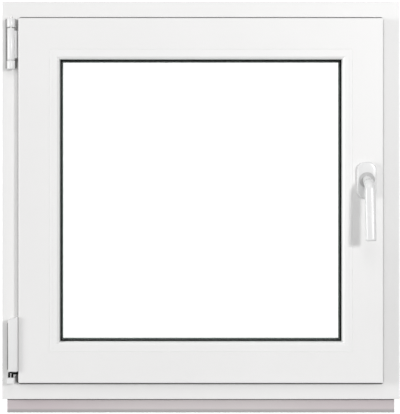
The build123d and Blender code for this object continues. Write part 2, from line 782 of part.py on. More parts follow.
def sill_profile():
    """The sill connection profile: chambers, a recess for the outer sill and clip feet on top."""
    half = SILL_DEPTH / 2
    top = SILL_HEIGHT - SILL_SEAL_THICK
    shape = [
        (-half, 0, EDGE_ROUND),
        (half, 0, EDGE_ROUND),
        (half, SILL_RECESS_EDGE, 0),
        (half - SILL_RECESS, SILL_RECESS_EDGE, 0),
        (half - SILL_RECESS, top - SILL_RECESS_EDGE, 0),
        (half, top - SILL_RECESS_EDGE, 0),
        (half, top, EDGE_ROUND),
        (-half, top, EDGE_ROUND),
    ]
    hollow = offset(
        outline([(y, z, 0) for y, z, _ in shape]), amount=-SILL_WALL, kind=Kind.INTERSECTION
    )
    for place in SILL_WEBS:
        hollow -= block(-half + place, -half + place + WEB, -PAST, SILL_HEIGHT)
    section = outline(shape) - hollow
    for middle in (-CLIP_GROOVE_SPACING / 2, CLIP_GROOVE_SPACING / 2):
        section += block(
            middle - CLIP_STEM / 2, middle + CLIP_STEM / 2, top, SILL_HEIGHT + CLIP_GROOVE_DEPTH - FIT
        )
    return sill_length(section)


def sill_length(section):
    """A section drawn out along the sill."""
    length = WIDTH - 2 * SILL_SHORT
    return extrude(Plane.YZ * section, amount=length / 2, both=True)


def sill_seal():
    """The foam strip between the sill profile and the frame, on the room side of the clip."""
    front = SILL_SEAL_BACK - SILL_DEPTH / 2
    low = SILL_HEIGHT - SILL_SEAL_THICK
    back = -CLIP_GROOVE_SPACING / 2 - CLIP_STEM / 2 - FIT
    return sill_length(block(front, back, low, SILL_HEIGHT))


def drain_places():
    """The centres of the drain slots along the bottom of the frame."""
    return [-DRAIN_SPACING / 2, DRAIN_SPACING / 2]


def frame_bottom():
    """The bottom frame length with its drain slots through the outer wall."""
    bar = mitred(frame_section(), "bottom")
    z = BOTTOM + DRAIN_UP
    for x in drain_places():
        slot = Plane.XZ * Pos(x, z) * SlotOverall(DRAIN_SLOT_LENGTH, DRAIN_SLOT_HEIGHT)
        bar -= Pos(0, FRAME_BACK + PAST, 0) * extrude(slot, amount=WALL + 2 * PAST)
    return bar


def drain_cap(x):
    """A wind hood over a drain slot: a sloped shell, open below and behind."""
    low, high = BOTTOM + DRAIN_UP - DRAIN_CAP_HEIGHT / 2, BOTTOM + DRAIN_UP + DRAIN_CAP_HEIGHT / 2
    out = FRAME_BACK + DRAIN_CAP_OUT
    shell = make_face(
        Polyline(
            [(FRAME_BACK, low), (out, low), (out, low + DRAIN_CAP_HEIGHT / 3), (FRAME_BACK, high)],
            close=True,
        )
    )
    solid = extrude(Plane.YZ * shell, amount=DRAIN_CAP_LENGTH / 2, both=True)
    wall = DRAIN_CAP_WALL
    inner = make_face(
        Polyline(
            [
                (FRAME_BACK, low - PAST),
                (out - wall, low - PAST),
                (out - wall, low + DRAIN_CAP_HEIGHT / 3 - wall / 2),
                (FRAME_BACK, high - DRAIN_CAP_ROOF),
            ],
            close=True,
        )
    )
    hollow = extrude(Plane.YZ * inner, amount=DRAIN_CAP_LENGTH / 2 - wall, both=True)
    return Pos(x, 0, 0) * (solid - hollow)


def build():
    """Every piece of the window, by name."""
    handle_stile = sash_member("handle") - spindle_hole() - gearbox_block(FIT)
    pieces = {
        "frame_head": mitred(frame_section(), "top"),
        "frame_bottom": frame_bottom(),
        "frame_hinge_jamb": mitred(frame_section(), "hinge"),
        "frame_handle_jamb": mitred(frame_section(), "handle"),
        "sash_top_rail": sash_member("top"),
        "sash_bottom_rail": sash_member("bottom"),
        "sash_hinge_stile": sash_member("hinge"),
        "sash_handle_stile": handle_stile,
        "bead_top": mitred(bead_section(), "top"),
        "bead_bottom": mitred(bead_section(), "bottom"),
        "bead_hinge_side": mitred(bead_section(), "hinge"),
        "bead_handle_side": mitred(bead_section(), "handle"),
        "pane_inside": pane(GLASS_FRONT),
        "pane_outside": pane(GLASS_BACK - PANE_THICK),
        "glass_edge_seal": cavity_ring(GLASS_EDGE, GLASS_EDGE + EDGE_SEAL),
        "glass_spacer": cavity_ring(GLASS_EDGE + EDGE_SEAL, GLASS_EDGE + EDGE_SEAL + SPACER_HEIGHT),
        "gasket_glass_inside": ring(glazing_gasket_section(BEAD_BACK)),
        "gasket_glass_outside": ring(glazing_gasket_section(GLASS_BACK)),
        "gasket_sash_lip": ring(
            bulb_gasket_section(LIP_EDGE + LIP_GASKET_AT, LIP_BACK, SASH_GAP, LIP_GASKET_WIDTH, -1)
        ),
        "gasket_frame_stop": ring(
            bulb_gasket_section(
                FRAME_STOP - STOP_GASKET_AT, STOP_FRONT, STOP_FRONT - SASH_BACK, STOP_GASKET_WIDTH, 1
            )
        ),
        "handle_rosette": handle_rosette(),
        "handle_collar": handle_collar(),
        "handle_lever": handle_lever(),
        "handle_spindle": handle_spindle(),
        "lock_gearbox": lock_gearbox(),
        "lock_follower": lock_follower(),
        "lock_faceplate": lock_faceplate(),
        "top_hinge_bracket": top_hinge_bracket(),
        "top_hinge_stay_knuckle": top_hinge_stay_knuckle(),
        "top_hinge_pin": top_hinge_pin(),
        "bottom_hinge_bearing": bottom_hinge_bearing(),
        "bottom_hinge_pin": bottom_hinge_pin(),
        "bottom_hinge_adjuster": bottom_hinge_adjuster(),
        "bottom_hinge_band": bottom_hinge_band(),
        "bottom_hinge_cover": bottom_hinge_cover(),
        "sill_profile": sill_profile(),
        "sill_seal": sill_seal(),
    }
    for name, along in zip(("low", "high"), cam_places()):
        pieces[f"lock_cam_{name}"] = lock_cam(along)
        pieces[f"lock_striker_{name}"] = lock_striker(along)
    for name, x in zip(("drain_cap_left", "drain_cap_right"), drain_places()):
        pieces[name] = drain_cap(x)
    return pieces


for node, shape in build().items():
    export_step(shape, f"parts/{node}.step")
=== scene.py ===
# %% [markdown]
# # A basement window, dressed for a studio picture
# The window is a tilt-and-turn one of white PVC: an outer frame, a sash that laps over it, glass
# held by beads, two hinges on the left, a handle on the right and a sill profile under the frame.
# The engineer's solids are loaded first as a fixed frame. Everything after that only dresses them:
# a solid whose form is right keeps it and gets a finish, and a form that needs softer curves or
# many small parts is made here and stands in for its solid.

# %% Load the frame and note its size
import json
from math import ceil, cos, pi, radians, sin

import bmesh
import bpy
from mathutils import Matrix, Vector


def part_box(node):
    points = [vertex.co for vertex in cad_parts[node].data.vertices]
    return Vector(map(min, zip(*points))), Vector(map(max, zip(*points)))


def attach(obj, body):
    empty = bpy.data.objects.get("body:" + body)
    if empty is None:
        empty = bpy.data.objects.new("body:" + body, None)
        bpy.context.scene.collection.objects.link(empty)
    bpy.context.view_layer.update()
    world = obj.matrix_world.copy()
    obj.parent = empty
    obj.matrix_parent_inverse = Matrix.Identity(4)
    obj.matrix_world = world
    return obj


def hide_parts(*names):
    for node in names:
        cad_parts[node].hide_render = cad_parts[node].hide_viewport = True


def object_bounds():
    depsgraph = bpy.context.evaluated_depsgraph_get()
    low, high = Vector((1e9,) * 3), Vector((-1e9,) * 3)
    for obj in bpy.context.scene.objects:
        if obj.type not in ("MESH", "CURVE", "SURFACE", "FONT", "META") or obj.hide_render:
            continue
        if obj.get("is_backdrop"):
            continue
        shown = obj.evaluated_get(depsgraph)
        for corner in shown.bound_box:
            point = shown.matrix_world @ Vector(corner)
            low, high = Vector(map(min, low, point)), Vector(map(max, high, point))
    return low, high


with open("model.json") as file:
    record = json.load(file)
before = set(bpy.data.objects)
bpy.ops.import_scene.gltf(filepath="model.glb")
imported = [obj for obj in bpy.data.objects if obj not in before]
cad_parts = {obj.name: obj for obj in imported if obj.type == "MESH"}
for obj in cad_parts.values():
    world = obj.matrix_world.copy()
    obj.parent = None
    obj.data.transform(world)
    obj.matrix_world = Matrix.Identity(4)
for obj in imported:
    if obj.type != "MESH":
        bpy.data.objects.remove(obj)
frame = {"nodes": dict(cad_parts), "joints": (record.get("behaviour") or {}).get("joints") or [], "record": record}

cad_low, cad_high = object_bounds()
print("CAD box from", tuple(cad_low), "to", tuple(cad_high))

# %% [markdown]
# ## Sizes that everything shares
# Profiles are the same all the way round, so a point on one is best told by its distance in from
# the frame's outer edge. These values come from the solids themselves, so nothing is measured
# twice.

# %% Read the sizes off the solids
head_low, head_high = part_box("frame_head")
foot_low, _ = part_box("frame_bottom")
stile_low, stile_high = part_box("sash_handle_stile")
HALF = head_high.x
HALF_TALL = (head_high.z - foot_low.z) / 2
MIDDLE_Z = (head_high.z + foot_low.z) / 2
FRAME_FACE = head_low.y
SASH_EDGE = HALF - stile_high.x
GLASS_LINE = HALF - stile_low.x
print("half width", HALF, "sash edge", round(SASH_EDGE, 4), "glass line", round(GLASS_LINE, 4))

# %% [markdown]
# ## The camera comes first
# The photograph is taken straight on from about two and a half metres, near the middle and a
# little above it. A long lens keeps the frame square. The picture's centre isn't where the camera
# looks, so a small lens shift does the framing and no line converges.

# %% Stand the camera
MM_PER_PIXEL = 2.012
CAMERA = Vector((-0.02, -2.4545, 0.468))
PICTURE = (400, 414)
WINDOW_AT = (200.85, 200.40)

focal_pixels = (FRAME_FACE - CAMERA.y) * 1000 / MM_PER_PIXEL
axis_x = WINDOW_AT[0] + CAMERA.x * 1000 / MM_PER_PIXEL
axis_y = WINDOW_AT[1] - (CAMERA.z - MIDDLE_Z) * 1000 / MM_PER_PIXEL
camera = bpy.data.cameras.new("photo_camera")
camera.sensor_width = 36
camera.lens = focal_pixels * camera.sensor_width / max(PICTURE)
camera.shift_x = (PICTURE[0] / 2 - axis_x) / max(PICTURE)
camera.shift_y = (axis_y - PICTURE[1] / 2) / max(PICTURE)
viewpoint = bpy.data.objects.new("photo_camera", camera)
viewpoint.location = CAMERA
viewpoint.rotation_euler = (radians(90), 0, 0)
bpy.context.collection.objects.link(viewpoint)
bpy.context.scene.camera = viewpoint
print("lens", round(camera.lens, 1), "shift", round(camera.shift_x, 3), round(camera.shift_y, 3))

# %% [markdown]
# ## Node trees written as Python
# A material's pattern and a Geometry Nodes recipe are both graphs of small nodes. Placing each by
# hand hides the idea behind the wiring, so two small classes do it: a Wire is a value on its way
# through a graph, and Python's own operators on it add Math nodes. Every other node comes from one
# method that takes its type, its settings and what goes into its sockets.

# %% The wire and the sheet
class Wire:
    """A value on its way through a node tree."""

    def __init__(self, sheet, socket):
        self.sheet, self.socket = sheet, socket

    def __add__(self, other):
        return self.sheet.maths("ADD", self, other)

    __radd__ = __add__

    def __sub__(self, other):
        return self.sheet.maths("SUBTRACT", self, other)

    def __rsub__(self, other):
        return self.sheet.maths("SUBTRACT", other, self)

    def __mul__(self, other):
        return self.sheet.maths("MULTIPLY", self, other)

    __rmul__ = __mul__

    def __pow__(self, other):
        return self.sheet.maths("POWER", self, other)

    def __abs__(self):
        return self.sheet.maths("ABSOLUTE", self)


class Sheet:
    """A node tree and the one way that nodes get into it."""

    def __init__(self, tree):
        self.tree = tree

    def node(self, kind, settings=None, inputs=None, out=0):
        made = self.tree.nodes.new(kind)
        for name, value in (settings or {}).items():
            setattr(made, name, value)
        for name, value in (inputs or {}).items():
            if isinstance(value, Wire):
                self.tree.links.new(value.socket, made.inputs[name])
            else:
                made.inputs[name].default_value = value
        return Wire(self, made.outputs[out]) if made.outputs else None

    def maths(self, operation, *values):
        return self.node("ShaderNodeMath", {"operation": operation}, dict(enumerate(values)))

    def least(self, a, b):
        return self.maths("MINIMUM", a, b)

    def most(self, a, b):
        return self.maths("MAXIMUM", a, b)

    def step(self, value, low, high, at_low=0.0, at_high=1.0):
        """A smooth step: at_low where value is below low, at_high where it is above high."""
        values = {"Value": value, 1: low, 2: high, 3: at_low, 4: at_high}
        return self.node("ShaderNodeMapRange", {"interpolation_type": "SMOOTHSTEP"}, values)

    def triple(self, x, y, z):
        return self.node("ShaderNodeCombineXYZ", None, {0: x, 1: y, 2: z})

    def parts(self, vector):
        first = self.node("ShaderNodeSeparateXYZ", None, {0: vector})
        return [Wire(self, socket) for socket in first.socket.node.outputs]


print("a Wire adds Math nodes for + - * **, a Sheet adds the rest")

# %% [markdown]
# ## What a finish is built from
# Each finish starts from the object's own coordinates, which are metres in the window's frame, so
# a pattern has a real size and stays put on a piece that turns. Colour, roughness and bump vary a
# little together, because that is what makes plastic read as plastic and not as paint on a screen.

# %% The finish sheet
class Finish(Sheet):
    """A material's sheet, with the piece's own place ready to read."""

    def __init__(self, name):
        self.material = bpy.data.materials.new(name)
        self.material.use_nodes = True
        super().__init__(self.material.node_tree)
        self.tree.nodes.clear()
        self.place = self.node("ShaderNodeTexCoord", out="Object")

    def noise(self, place, scale, detail=2.0, rough=0.5):
        values = {"Vector": place, "Scale": scale, "Detail": detail, "Roughness": rough}
        return self.node("ShaderNodeTexNoise", None, values)

    def mixed(self, share, a, b):
        """Two colours mixed by share, from 0 for a to 1 for b."""
        return self.node("ShaderNodeMix", {"data_type": "RGBA"}, {0: share, 6: a, 7: b}, out=2)

    def bump(self, height, depth, strength=1.0):
        values = {"Height": height, "Distance": depth, "Strength": strength}
        return self.node("ShaderNodeBump", None, values)

    def shaded(self, **sockets):
        """Ends the sheet in a Principled shader; a plain value is set on its own socket."""
        named = {name.replace("_", " "): value for name, value in sockets.items()}
        shader = self.node("ShaderNodeBsdfPrincipled", None, named)
        self.node("ShaderNodeOutputMaterial", None, {"Surface": shader})
        return self.material


def grey(value, warm=0.0):
    """A grey, a little warmer or cooler."""
    return (value * (1 + warm), value, value * (1 - warm), 1.0)


print("a Finish reads Object coordinates and ends in one Principled shader")

# %% [markdown]
# ## Extruded PVC
# The profiles come off an extruder, so they carry faint lines along their length, and they are
# mitred and welded at the corners. Textures could be painted along each length, but one pattern
# does for all: the distance in from the frame's edge is the same round the window, so noise that
# varies with it, and hardly along the length, turns the corner by itself. Where the two distances
# are equal is the mitre, and there the cleaned weld is a shallow groove.

# %% Extruded PVC
def extruded_pvc(name, dark, light, sheen, welded=1.0):
    """White profile plastic with draw lines, a fine skin and cleaned corner welds."""
    f = Finish(name)
    x, y, z = f.parts(f.place)
    in_x = HALF - abs(x)
    in_z = HALF_TALL - abs(z - MIDDLE_Z)
    inwards, along = f.least(in_x, in_z), f.most(in_x, in_z)
    drawn = f.noise(f.triple(inwards, y, along * 0.012), 1100, 3)
    clouds = f.noise(f.place, 7, 3, 0.6)
    skin = f.noise(f.place, 3200, 2)
    weld = f.step(along - inwards, 0.0006, 0.0022, 1.0, 0.0) * welded
    # painted shade: the profile is darkened in a band along the sash's edge, where the lap shades the frame
    lap_shade = f.step(abs(inwards - SASH_EDGE), 0.0, 0.006, 1.0, 0.0) * clouds
    tone = clouds * 0.55 + drawn * 0.3 + skin * 0.15 - lap_shade * 0.25 - weld * 0.12
    height = skin * 0.35 + drawn * 0.5 - weld * 4
    return f.shaded(
        Base_Color=f.mixed(tone, dark, light),
        Roughness=sheen + drawn * 0.06 + clouds * 0.07 - weld * 0.1,
        Normal=f.bump(height, 0.00005, 0.6),
        IOR=1.53,
    )


frame_pvc = extruded_pvc("frame_pvc", grey(0.82, 0.006), grey(0.88, 0.004), 0.34, welded=0.3)
bead_pvc = extruded_pvc("bead_pvc", grey(0.84, 0.005), grey(0.90, 0.003), 0.30, welded=0.8)
print("made", frame_pvc.name, bead_pvc.name)

# %% [markdown]
# ## The other finishes
# Hinge covers and the handle are smooth coated parts, with a soft skin and a few handling marks.
# Gaskets are black rubber with a dull bloom. Steel is zinc plated, in faint spangles. The glass is
# clear with a green cast, and mirrors more at a grazing angle. The sill profile is a grey one with
# a pinkish film on it, and is painted darker along its foot as painted shade. A picture of each
# could be wrapped round it, but noise with a real size needs no unwrapping and no file. None is one
# flat colour: each changes over its surface as the real one does.

# %% Coated parts, rubber, steel
def coated(name, dark, light, sheen, coat=0.2):
    """Powder coat or moulded plastic: an orange-peel skin and light rub marks."""
    f = Finish(name)
    clouds = f.noise(f.place, 22, 3)
    peel = f.noise(f.place, 1500, 1)
    rubs = f.step(f.noise(f.place, 95, 5, 0.7), 0.60, 0.78)
    return f.shaded(
        Base_Color=f.mixed(clouds * 0.7 + peel * 0.2 - rubs * 0.15, dark, light),
        Roughness=sheen + clouds * 0.08 + rubs * 0.12,
        Normal=f.bump(peel * 0.6 + rubs * 0.2, 0.00005, 0.5),
        Coat_Weight=coat,
        Coat_Roughness=0.15,
        IOR=1.5,
    )


def rubber(name, tone):
    """Black gasket rubber with a dull grey bloom."""
    f = Finish(name)
    bloom = f.noise(f.place, 60, 4, 0.65)
    skin = f.noise(f.place, 2400, 2)
    return f.shaded(
        Base_Color=f.mixed(bloom * 0.6 + skin * 0.2, grey(tone), grey(tone * 2.6, 0.01)),
        Roughness=0.6 + bloom * 0.2,
        Normal=f.bump(skin, 0.00004, 0.4),
        Specular_IOR_Level=0.15,
        IOR=1.45,
    )


def plated_steel(name, dark, light):
    """Zinc plate: small cells of slightly different grey and gloss."""
    f = Finish(name)
    cells = f.node("ShaderNodeTexVoronoi", None, {"Vector": f.place, "Scale": 420}, out="Color")
    cell, _, _ = f.parts(cells)
    drawn = f.noise(f.place, 1800, 3)
    return f.shaded(
        Base_Color=f.mixed(cell * 0.6 + drawn * 0.3, dark, light),
        Roughness=0.28 + cell * 0.15 + drawn * 0.1,
        Metallic=1.0,
        Normal=f.bump(drawn, 0.00004, 0.5),
    )


hinge_white = coated("hinge_white", grey(0.80), grey(0.88), 0.26)
cover_white = coated("cover_white", grey(0.78), grey(0.86), 0.30)
handle_white = coated("handle_white", grey(0.76), grey(0.82), 0.22, coat=0.5)
# painted shade: the collar is a white part, coloured mid grey for the shade round the lever's neck
collar_white = coated("collar_white", grey(0.46), grey(0.54), 0.32)
fork_black = rubber("fork_black", 0.0015)
gasket_black = rubber("gasket_black", 0.002)
foam_grey = rubber("foam_grey", 0.012)
seal_black = rubber("seal_black", 0.016)
steel_zinc = plated_steel("steel_zinc", grey(0.52, 0.02), grey(0.72, 0.01))
# painted shade: zinc steel painted darker than steel_zinc, for the shade lines beside the hinge caps and the cover
hinge_steel = plated_steel("hinge_steel", grey(0.30, 0.01), grey(0.42, 0.01))
# painted shade: the corner angle's zinc steel, painted near black for the shade in the gap at the sash's corner
band_dark = plated_steel("band_dark", grey(0.10, 0.01), grey(0.2, 0.01))
spacer_grey = plated_steel("spacer_grey", grey(0.42), grey(0.58))
print("made the coated, rubber and plated finishes")

# %% Glass and the sill's film
def float_glass(name):
    """Clear glass: a green cast, faint smears, and more of a mirror at a grazing angle."""
    f = Finish(name)
    edge_on = f.node("ShaderNodeLayerWeight", None, {"Blend": 0.3}, out="Fresnel")
    smears = f.step(f.noise(f.place, 11, 5, 0.7), 0.45, 0.8)
    return f.shaded(
        Base_Color=f.mixed(smears, (0.80, 0.90, 0.86, 1), (0.92, 0.95, 0.94, 1)),
        Roughness=0.02 + smears * 0.05,
        Alpha=edge_on * 0.7 + 0.05 + smears * 0.02,
        IOR=1.52,
    )


def filmed_sill(name):
    """Grey profile plastic under a pinkish protective film with draw lines."""
    f = Finish(name)
    x, y, z = f.parts(f.place)
    drawn = f.noise(f.triple(x * 0.01, y, z), 900, 3)
    patches = f.noise(f.place, 5, 2)
    ends = f.step(abs(x), 0.12, 0.34)
    film = f.mixed(ends, (0.63, 0.583, 0.588, 1), (0.567, 0.494, 0.515, 1))
    worn = f.mixed(patches * 0.5 + drawn * 0.4, film, (0.64, 0.60, 0.605, 1))
    # painted shade: the foot, below 9 mm, is darkened towards grey
    foot = f.step(z, 0.004, 0.009, 0.75, 0.0)
    return f.shaded(
        Base_Color=f.mixed(foot, worn, grey(0.36)),
        Roughness=0.36 + drawn * 0.12,
        Normal=f.bump(drawn, 0.00008, 0.6),
        IOR=1.5,
    )


glass_clear = float_glass("glass_clear")
sill_grey = filmed_sill("sill_grey")
print("made", glass_clear.name, sill_grey.name)

# %% [markdown]
# ## Dress the solids
# The record gives each solid a material slot, so one table of slots dresses them all, and a solid
# that is added later is dressed with no new line here.

# %% Dress the solids
FINISHES = {
    "pvc_white": frame_pvc,
    "bead_white": bead_pvc,
    "glass_clear": glass_clear,
    "seal_black": seal_black,
    "spacer_grey": spacer_grey,
    "gasket_black": gasket_black,
    "handle_white": handle_white,
    "collar_white": collar_white,
    "hinge_white": hinge_white,
    "cover_white": cover_white,
    "steel_zinc": steel_zinc,
    "band_dark": band_dark,
    "fork_black": fork_black,
    "sill_grey": sill_grey,
    "foam_grey": foam_grey,
}
slots = {part["node"]: part["material_slot"] for part in frame["record"]["subparts"]}
for name, piece in frame["nodes"].items():
    piece.data.materials.clear()
    piece.data.materials.append(FINISHES[slots[name]])
print("dressed", len(frame["nodes"]), "solids in", len(FINISHES), "finishes")

# %% [markdown]
# ## A mesh from rings
# The lever, the rosette and the hinge caps are all skins over a row of closed rings: each ring is a
# cross-section, and neighbouring rings are joined point to point. It gives full control over the
# taper and the edge radii, which a primitive or a bevel on the solid's triangles wouldn't. A Form
# gathers several such skins into one piece, because a hinge cap and its web are one casting.

# %% Rings to a mesh
class Form:
    """Closed forms that are gathered into one piece."""

    def __init__(self):
        self.shape = bmesh.new()

    def rings(self, rings, closed=False):
        """A skin over rings of points. Ends are capped, or joined to each other if closed."""
        loops = [[self.shape.verts.new(point) for point in ring] for ring in rings]
        count = len(loops[0])
        pairs = list(zip(loops, loops[1:])) + ([(loops[-1], loops[0])] if closed else [])
        for one, two in pairs:
            for n in range(count):
                m = (n + 1) % count
                self.shape.faces.new((one[n], one[m], two[m], two[n]))
        if not closed:
            self.shape.faces.new(loops[0])
            self.shape.faces.new(loops[-1])
        return self

    def turned(self, x, y, profile, count=40):
        """A round form with a bore about an upright line, from (radius, height) points."""
        turns = [2 * pi * n / count for n in range(count)]
        rings = [[(x + r * cos(t), y + r * sin(t), z) for t in turns] for r, z in profile]
        return self.rings(rings, closed=True)

    def block(self, low, high, edge=0.0005):
        """A box whose twelve edges are rounded a little."""
        middle = [(a + b) / 2 for a, b in zip(low, high)]
        half = [(b - a) / 2 for a, b in zip(low, high)]

        def ring(inset, z):
            drawn = rounded_rectangle(half[0] - inset, half[1] - inset, edge - inset * 0.7, 20)
            return [(middle[0] + a, middle[1] + b, z) for a, b in drawn]

        steps = soft_edge(edge)
        rings = [ring(inset, low[2] + rise) for inset, rise in steps]
        return self.rings(rings + [ring(inset, high[2] - rise) for inset, rise in reversed(steps)])

    def piece(self, name, finish, body="window", stands_for=(), slot=None):
        bmesh.ops.recalc_face_normals(self.shape, faces=self.shape.faces)
        mesh = bpy.data.meshes.new(name)
        self.shape.to_mesh(mesh)
        self.shape.free()
        return settle(name, mesh, finish, body, stands_for)


def skin(name, rings, finish, closed=False, body="window", stands_for=(), slot=None):
    """One piece from one skin."""
    return Form().rings(rings, closed).piece(name, finish, body, stands_for, slot)


def soft_edge(radius, degrees=(0, 30, 60, 90)):
    """Steps round a soft edge of this radius: how far drawn in, and how far risen."""
    turns = [radians(d) for d in degrees]
    return [(radius * (1 - sin(t)), radius * (1 - cos(t))) for t in turns]


def rounded_rectangle(half_wide, half_tall, corner, count=64):
    """Points round a rectangle with round corners, evenly turned."""
    points = []
    for n in range(count):
        turn = 2 * pi * (n + 0.5) / count
        side_x, side_z = (1 if cos(turn) > 0 else -1), (1 if sin(turn) > 0 else -1)
        middle = ((half_wide - corner) * side_x, (half_tall - corner) * side_z)
        points.append((middle[0] + corner * cos(turn), middle[1] + corner * sin(turn)))
    return points


# %% A finished piece
def settle(name, mesh, finish, body="window", stands_for=(), sharp=35):
    """Links a finished mesh, shades it smooth up to an angle, and hands it to its body."""
    piece = bpy.data.objects.new(name, mesh)
    bpy.context.collection.objects.link(piece)
    mesh.materials.clear()
    mesh.materials.append(finish)
    mesh.shade_smooth()
    mesh.set_sharp_from_angle(angle=radians(sharp))
    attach(piece, body)
    if stands_for:
        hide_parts(*stands_for)
    print(name, "has", len(mesh.polygons), "faces")
    return piece


# %% Sections and easing
def superellipse(half_wide, half_thick, power, count=40):
    """Points round a section that goes from an ellipse at power 2 to a soft rectangle at 4."""
    points = []
    for n in range(count):
        turn = 2 * pi * n / count
        c, s = cos(turn), sin(turn)
        across = half_wide * abs(c) ** (2 / power) * (1 if c >= 0 else -1)
        through = half_thick * abs(s) ** (2 / power) * (1 if s >= 0 else -1)
        points.append((across, through))
    return points


def eased(a, b, share):
    """From a to b with a soft start and a soft stop, as share goes from 0 to 1."""
    share = min(max(share, 0.0), 1.0)
    return a + (b - a) * share * share * (3 - 2 * share)


print("an oval section has", len(superellipse(1, 1, 2)), "points")

# %% [markdown]
# ## The lever
# The real lever is one casting: a round neck comes out of the collar, swells a little, turns down
# in a tight rounded elbow and runs on as a flat grip with soft edges. A box with a bevel would have
# a hard elbow. Here the section is carried along a centre line and changes from a circle to a soft
# rectangle on the way, so the elbow's top is round from the front, as in the photograph. The neck
# is thinner than the collar, which is coloured mid grey as painted shade round the neck and shows
# round it as a crescent. The lever hangs a little out of plumb, and it turns with the handle's own
# joint.

# %% The lever
pivot = Vector(frame["joints"][0]["pos_m"])
lever_low, lever_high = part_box("handle_lever")
ROOT_RADIUS = 0.0090
JOURNAL_RADIUS = 0.0079
ELBOW_HALF_THICK = 0.0095
GRIP_HALF_WIDE = 0.0102
GRIP_HALF_THICK = 0.0064
REACH = 0.037
ELBOW = 0.012
NECK_DROP = 0.0075
FULL_TURN = radians(90 - 4)
SLANT = radians(0.6)
STRAIGHT = REACH - ELBOW
BENT = STRAIGHT + FULL_TURN * ELBOW
FALLEN = NECK_DROP + ELBOW * (1 - cos(FULL_TURN))
LENGTH = BENT + (pivot.z - lever_low.z - FALLEN) / sin(FULL_TURN) - 0.0009
TIP = 0.0026
RING_EVERY = 0.0020
ROOT_STEP = 0.0006
ROOT_EDGE = 0.0005
print("the lever is", round(LENGTH * 1000), "mm along its line")


# %% The lever's line and sections
def lever_line(along):
    """Out from the neck, round the elbow and down the grip: (out, down, turn)."""
    turn = FULL_TURN * min(max((along - STRAIGHT) / (BENT - STRAIGHT), 0), 1)
    rest = max(along - BENT, 0)
    out = min(along, STRAIGHT) + ELBOW * sin(turn) + rest * cos(FULL_TURN)
    down = ELBOW * (1 - cos(turn)) + rest * sin(FULL_TURN)
    return out, down + eased(0, NECK_DROP, along / STRAIGHT), turn


def lever_ring(along, shrink=0.0):
    """The lever's section at a length along its line."""
    out, down, turn = lever_line(along)
    necked = along / STRAIGHT
    bent = (along - STRAIGHT) / (BENT - STRAIGHT)
    half_wide = eased(ROOT_RADIUS, GRIP_HALF_WIDE, necked) - shrink
    half_thick = eased(eased(ROOT_RADIUS, ELBOW_HALF_THICK, necked), GRIP_HALF_THICK, bent) - shrink
    power = eased(2.0, 2.6, (along - STRAIGHT) / 0.03)
    ring = []
    for across, through in superellipse(half_wide, half_thick, power):
        point = Vector((across, -out - through * sin(turn), -down + through * cos(turn)))
        point.rotate(Matrix.Rotation(-SLANT, 3, "Y"))
        ring.append(pivot + point)
    return ring


def lever():
    radii = (JOURNAL_RADIUS, JOURNAL_RADIUS, ROOT_RADIUS - ROOT_EDGE)
    journal = [lever_ring(0, ROOT_RADIUS - radius) for radius in radii]
    journal[0] = [p + Vector((0, lever_high.y - pivot.y, 0)) for p in journal[0]]
    steps = ceil((LENGTH - TIP) / RING_EVERY)
    body = [lever_ring(ROOT_STEP + (LENGTH - TIP) * n / steps) for n in range(steps + 1)]
    turns = [radians(d) for d in (25, 45, 62, 76, 88)]
    end = [lever_ring(LENGTH - TIP + TIP * sin(t), TIP * (1 - cos(t))) for t in turns]
    return journal + body + end


handle_grip = skin("lever", lever(), handle_white, body="handle", stands_for=["handle_lever"])
lever_box = [Vector(c) for c in handle_grip.bound_box]
print("lever from", tuple(lever_box[0]), "to", tuple(lever_box[6]))

# %% [markdown]
# ## The rosette
# The plate behind the lever is a moulded cover with full round ends and soft edges, and a bore that
# the lever's journal turns in. A bevelled box with the bore cut by a Boolean would do too. It is
# skinned from its outline instead, so that each step of the edge's curve is set: the same rounded
# rectangle drawn in a little more each time, then on to the round bore.

# %% The rosette
def rosette():
    low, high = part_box("handle_rosette")
    middle = (low + high) / 2
    half_wide, half_tall = (high.x - low.x) / 2, (high.z - low.z) / 2
    corner, edge, crown, border = 0.017, 0.0026, 0.0005, 0.004
    seat, bore = 0.0135, 0.0081

    def ring(inset, y):
        drawn = rounded_rectangle(half_wide - inset, half_tall - inset, corner - inset)
        return [(middle.x + x, y, middle.z + z) for x, z in drawn]

    def round_ring(radius, y):
        drawn = rounded_rectangle(radius, radius, radius)
        return [(middle.x + x, y, middle.z + z) for x, z in drawn]

    rings = [ring(0, high.y), ring(0, low.y + edge + crown)]
    for turn in (radians(d) for d in (18, 36, 54, 72, 88)):
        rings.append(ring(edge * (1 - cos(turn)), low.y + crown + edge * (1 - sin(turn))))
    rings.append(ring(edge + border, low.y + crown * 0.4))
    rings.append(round_ring(seat, low.y))
    rings.append(round_ring(bore, low.y))
    rings.append(round_ring(bore, high.y))
    return rings


skin("rosette", rosette(), handle_white, closed=True, stands_for=["handle_rosette"])

# %% [markdown]
# ## The top hinge
# Three knuckles turn on one pin: the upper and the lower are fixed to a steel plate on the frame,
# and the long one between them carries the sash. Each is a white cap with soft rims, so the seams
# show as a dark line with a bright one on each side. Bevelled cylinders would do, but a soft rim is
# a curve in a profile, so the caps are turned as on a lathe. The steel plate is painted darker than
# plain zinc as painted shade, and shows as a thin dark line on both sides.

